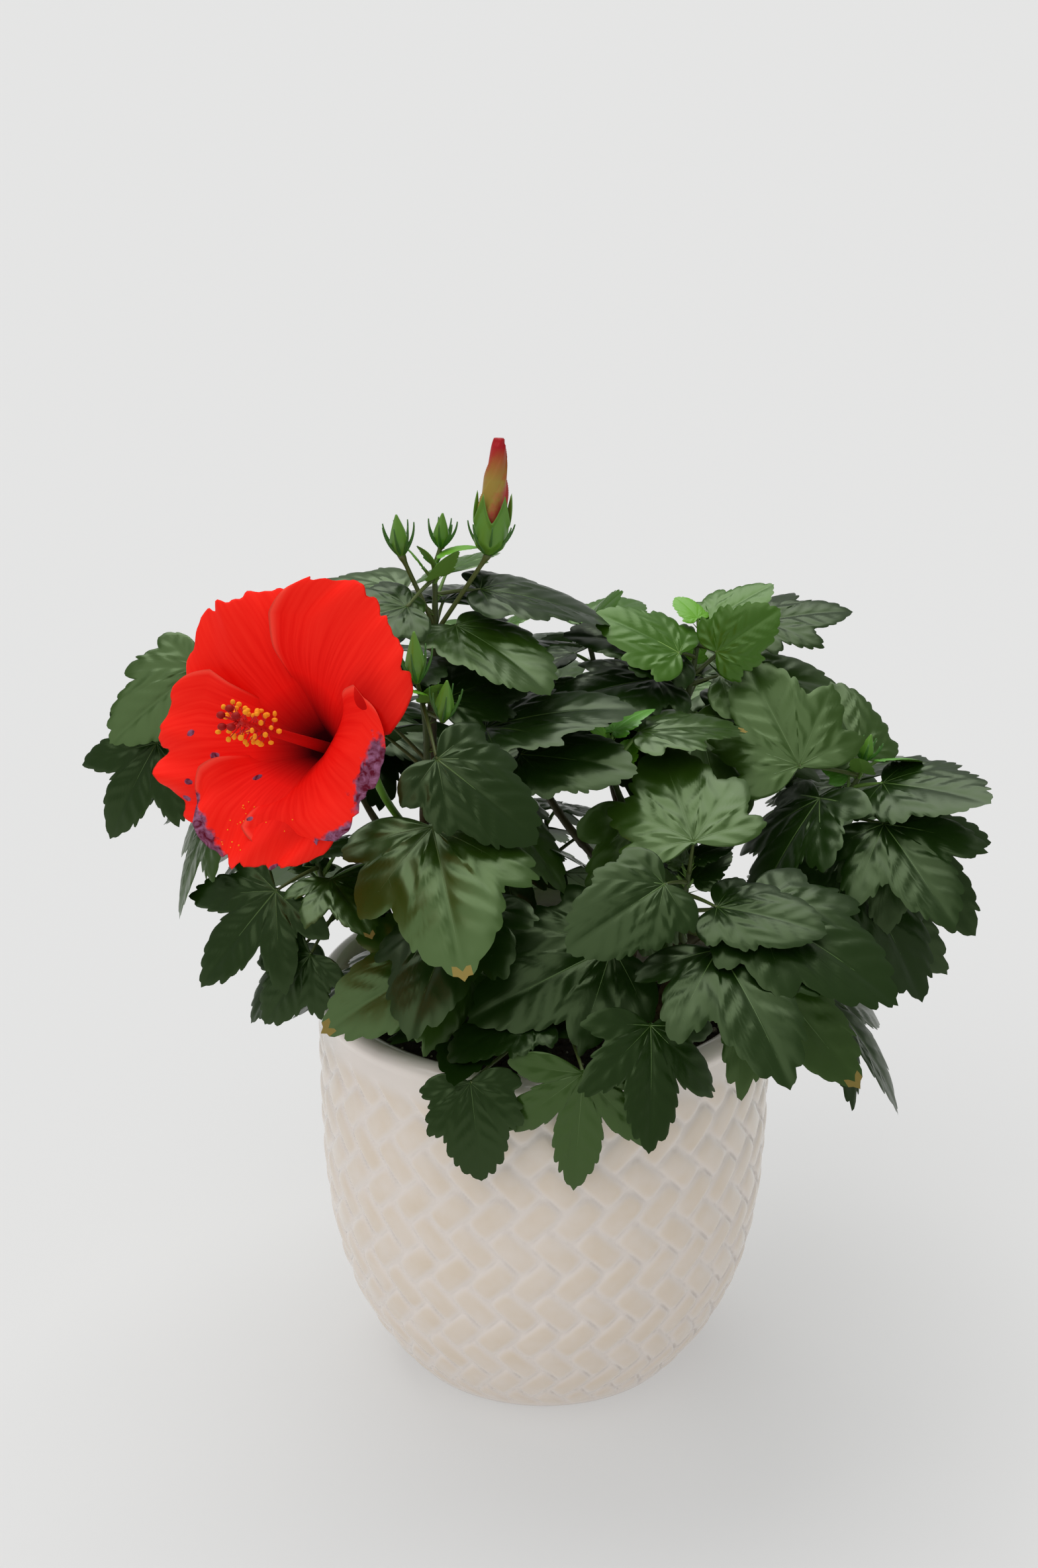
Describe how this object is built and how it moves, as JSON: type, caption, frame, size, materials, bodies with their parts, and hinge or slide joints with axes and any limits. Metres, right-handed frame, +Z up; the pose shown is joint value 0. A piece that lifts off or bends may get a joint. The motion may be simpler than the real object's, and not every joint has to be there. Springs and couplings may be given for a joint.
{
  "type": "potted hibiscus shrub",
  "caption": "Red-flowered hibiscus shrub with glossy dark green lobed leaves and closed buds, in a round cream glazed pot with a woven relief.",
  "frame": {"origin": "centre of the pot's flat underside", "axes": "+Z up; -Y towards the side that carries the open bloom; +X to the right seen from there"},
  "size_m": [0.405, 0.3257, 0.4384],
  "materials": {
    "glaze": "glossy",
    "soil": "rough",
    "bark": "rough",
    "green_bark": "satin",
    "leaf": "glossy",
    "bloom": "satin"
  },
  "bodies": {
    "root": {"bloom": "bloom", "bough_back": "green_bark", "bough_back_left": "green_bark", "bough_back_low": "green_bark", "bough_back_right": "green_bark", "bough_bloom": "green_bark", "bough_centre": "green_bark", "bough_centre_low": "green_bark", "bough_front_low": "green_bark", "bough_front_right": "green_bark", "bough_heart": "green_bark", "bough_left": "green_bark", "bough_left_low": "green_bark", "bough_middle": "green_bark", "bough_middle_back": "green_bark", "bough_right": "green_bark", "bough_right_low": "green_bark", "bough_tall": "green_bark", "foliage_back": "leaf", "foliage_back_left": "leaf", "foliage_back_low": "leaf", "foliage_back_right": "leaf", "foliage_bloom": "leaf", "foliage_centre": "leaf", "foliage_centre_low": "leaf", "foliage_front_low": "leaf", "foliage_front_right": "leaf", "foliage_heart": "leaf", "foliage_left": "leaf", "foliage_left_low": "leaf", "foliage_middle": "leaf", "foliage_middle_back": "leaf", "foliage_right": "leaf", "foliage_right_low": "leaf", "foliage_tall": "leaf", "pot": "glaze", "soil": "soil", "stem_left": "bark", "stem_middle": "bark", "stem_right": "bark"}
  },
  "joints": []
}
